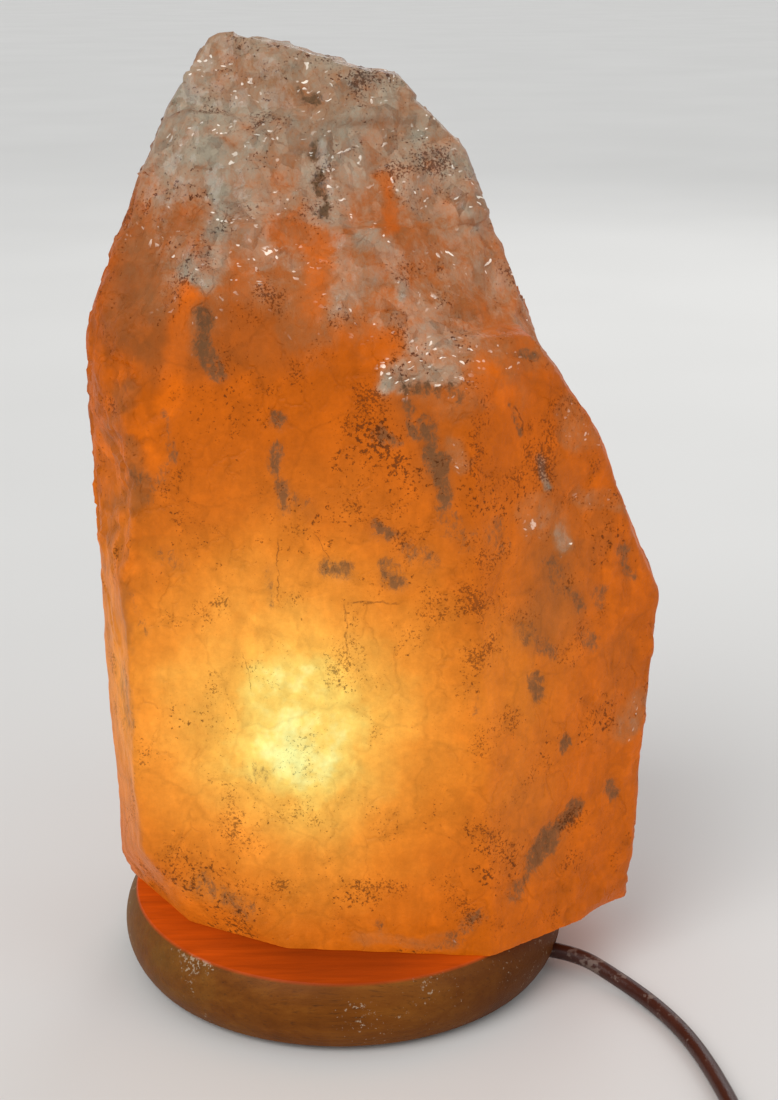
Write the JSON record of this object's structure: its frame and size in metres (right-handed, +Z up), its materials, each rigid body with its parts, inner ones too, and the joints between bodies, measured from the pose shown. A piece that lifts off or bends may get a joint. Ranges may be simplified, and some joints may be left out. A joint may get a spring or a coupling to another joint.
{
  "type": "salt crystal lamp",
  "caption": "Table lamp made of a cleaved salt crystal on a turned wooden base, lit from inside by a small bulb, with a dimmer in its cord.",
  "frame": {"origin": "on the floor under the middle of the round wooden base, level with the undersides of its feet", "axes": "+Z up; -Y towards the viewer, the side with the flat glowing face; +X to the viewer's right, the side that the crystal leans to and the cord leaves from"},
  "size_m": [0.1762, 0.2966, 0.2636],
  "materials": {
    "salt": "cleaved translucent orange rock salt, rough on the broken faces",
    "wood": "turned hardwood, dark brown varnish",
    "rubber": "matt black rubber",
    "steel": "zinc plated steel",
    "spring_steel": "bright spring steel",
    "brass": "plain brass",
    "holder": "black moulded phenolic",
    "cord": "dark brown flexible vinyl, half gloss",
    "moulding": "dark brown moulded plastic",
    "sleeve": "dark brown flexible vinyl",
    "board": "bare laminate board",
    "control": "dark moulded control with a steel shaft",
    "bulb_glass": "clear blown glass",
    "bulb_metal": "thin drawn aluminium",
    "insulator": "black glass insulator",
    "filament": "tungsten wire"
  },
  "bodies": {
    "cord_set": {"lampholder_body": "holder", "lampholder_cap": "holder", "lampholder_thread_shell": "brass", "lampholder_centre_contact": "brass", "clip_pins": "steel", "cord_base_run": "cord", "cord_lead": "cord", "cord_tail": "cord", "cord_coil": "cord", "cord_plug_end": "cord", "dimmer_upper_shell": "moulding", "dimmer_lower_shell": "moulding", "dimmer_board": "board", "dimmer_control": "control", "dimmer_screws": "steel", "dimmer_inlet_relief": "sleeve", "dimmer_outlet_relief": "sleeve", "plug_body": "moulding", "plug_blade_live": "brass", "plug_blade_neutral": "brass"},
    "lamp": {"salt_crystal": "salt", "wooden_base": "wood", "base_screws": "steel", "foot_front_left": "rubber", "foot_front_right": "rubber", "foot_rear_left": "rubber", "foot_rear_right": "rubber"},
    "bulb": {"bulb_glass": "bulb_glass", "bulb_screw_cap": "bulb_metal", "bulb_insulator": "insulator", "bulb_tip_contact": "brass", "bulb_stem": "bulb_glass", "bulb_support_wires": "filament", "bulb_filament": "filament"},
    "clip_rear_arm": {"clip_rear": "spring_steel"},
    "clip_front_arm": {"clip_front": "spring_steel"},
    "wheel": {"dimmer_wheel": "moulding"}
  },
  "joints": [
    {"name": "lamp_lift", "type": "slide", "parent": "cord_set", "child": "lamp", "axis": [0, 0, 1], "range_m": [0, 0.12]},
    {"name": "bulb_unscrew", "type": "slide", "parent": "cord_set", "child": "bulb", "axis": [0, 0, 1], "range_m": [0, 0.02]},
    {"name": "clip_rear_hinge", "type": "hinge", "parent": "cord_set", "child": "clip_rear_arm", "pos_m": [0.0052, 0.01555, 0.031], "axis": [-0.9483, 0.3173, 0], "range_deg": [0, 10], "stiffness_Nm_per_rad": 0.02, "springref_deg": -5.73},
    {"name": "clip_front_hinge", "type": "hinge", "parent": "cord_set", "child": "clip_front_arm", "pos_m": [-0.0052, -0.01555, 0.031], "axis": [0.9483, -0.3173, 0], "range_deg": [0, 10], "stiffness_Nm_per_rad": 0.02, "springref_deg": -5.73},
    {"name": "dimmer_wheel_turn", "type": "hinge", "parent": "cord_set", "child": "wheel", "pos_m": [0.02719, -0.21959, 0.0086], "axis": [0, 0, 1], "range_deg": [0, 270]}
  ]
}
